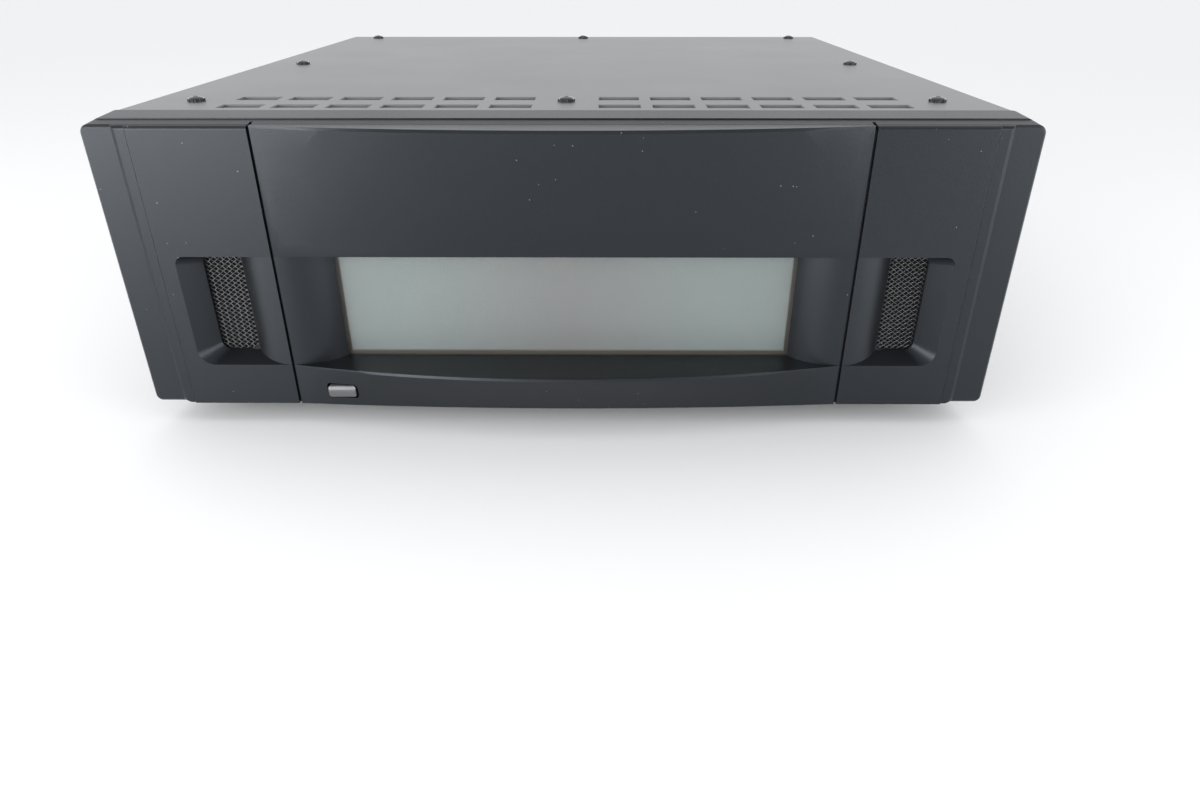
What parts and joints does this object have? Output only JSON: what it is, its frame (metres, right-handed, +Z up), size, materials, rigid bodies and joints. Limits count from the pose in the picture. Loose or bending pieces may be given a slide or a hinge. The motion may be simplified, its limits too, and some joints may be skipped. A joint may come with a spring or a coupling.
{
  "type": "hf linear amplifier",
  "caption": "Desktop HF linear amplifier: wide moulded front bowed at the centre, flat recessed display, two woven grilles, power button, dark sheet-metal case with vent slots.",
  "frame": {"origin": "centre of the bounding box on the plane the feet stand on", "axes": "+X to the right seen from the front, +Y from the front panel to the rear, +Z up"},
  "size_m": [0.408, 0.4578, 0.1475],
  "materials": {
    "moulding": "fine matt grain",
    "window": "clear acrylic",
    "lcd": "grey-green liquid-crystal panel, off",
    "white_plastic": "diffuser",
    "black_plastic": "matt",
    "button": "smooth",
    "circuit": "solder mask",
    "mesh": "satin dark wire",
    "sheet": "zinc-plated sheet",
    "cover": "charcoal satin paint, fine texture",
    "black_steel": "black oxide",
    "screen": "brownish grey",
    "rear_paint": "charcoal satin paint, fine texture",
    "foam": "open-cell foam",
    "rubber": "matt",
    "alu": "extruded",
    "copper": "bare copper",
    "ferrite": "ferrite",
    "relay": "relay covers",
    "nickel": "nickel plated",
    "brass": "nickel-plated brass"
  },
  "bodies": {
    "amplifier": {"front_panel": "moulding", "display_window": "window", "lcd_frame": "black_plastic", "lcd_panel": "lcd", "backlight": "white_plastic", "display_board": "circuit", "power_switch": "black_plastic", "grille_mesh_left": "mesh", "grille_mesh_right": "mesh", "grille_rim_left": "mesh", "grille_rim_right": "mesh", "grille_filter_left": "foam", "grille_filter_right": "foam", "front_subpanel": "sheet", "top_cover": "cover", "cover_screws": "black_steel", "vent_screen": "screen", "bottom_plate": "rear_paint", "side_frame_right": "sheet", "side_frame_left": "sheet", "centre_divider": "sheet", "rear_panel": "rear_paint", "rf_deck": "sheet", "front_feet": "rubber", "rear_feet": "rubber", "heatsink": "alu", "pa_board_1": "circuit", "pa_board_2": "circuit", "pa_board_3": "circuit", "pa_board_4": "circuit", "pa_transistors": "black_plastic", "bus_bars": "copper", "output_combiner": "circuit", "filter_board": "circuit", "filter_coils": "ferrite", "tuner_board": "circuit", "tuner_coil": "copper", "relays": "relay", "control_board": "circuit", "fan_frame": "black_plastic", "coax_sockets": "nickel", "jack_block": "black_plastic", "data_socket": "nickel", "dc_inlet": "black_plastic", "ground_stud": "nickel"},
    "power_button": {"power_button": "button"},
    "fan_rotor": {"fan_rotor": "black_plastic"},
    "wing_nut": {"wing_nut": "brass"}
  },
  "joints": [
    {"name": "power_button_press", "type": "slide", "parent": "amplifier", "child": "power_button", "axis": [0, 1, 0], "range_m": [0, 0.0025], "stiffness_N_per_m": 700},
    {"name": "fan_spin", "type": "hinge", "parent": "amplifier", "child": "fan_rotor", "pos_m": [-0.1045, 0.19237, 0.062], "axis": [0, 1, 0], "continuous": true},
    {"name": "wing_nut_turn", "type": "hinge", "parent": "amplifier", "child": "wing_nut", "pos_m": [0.178, 0.21437, 0.037], "axis": [0, 1, 0], "continuous": true}
  ]
}
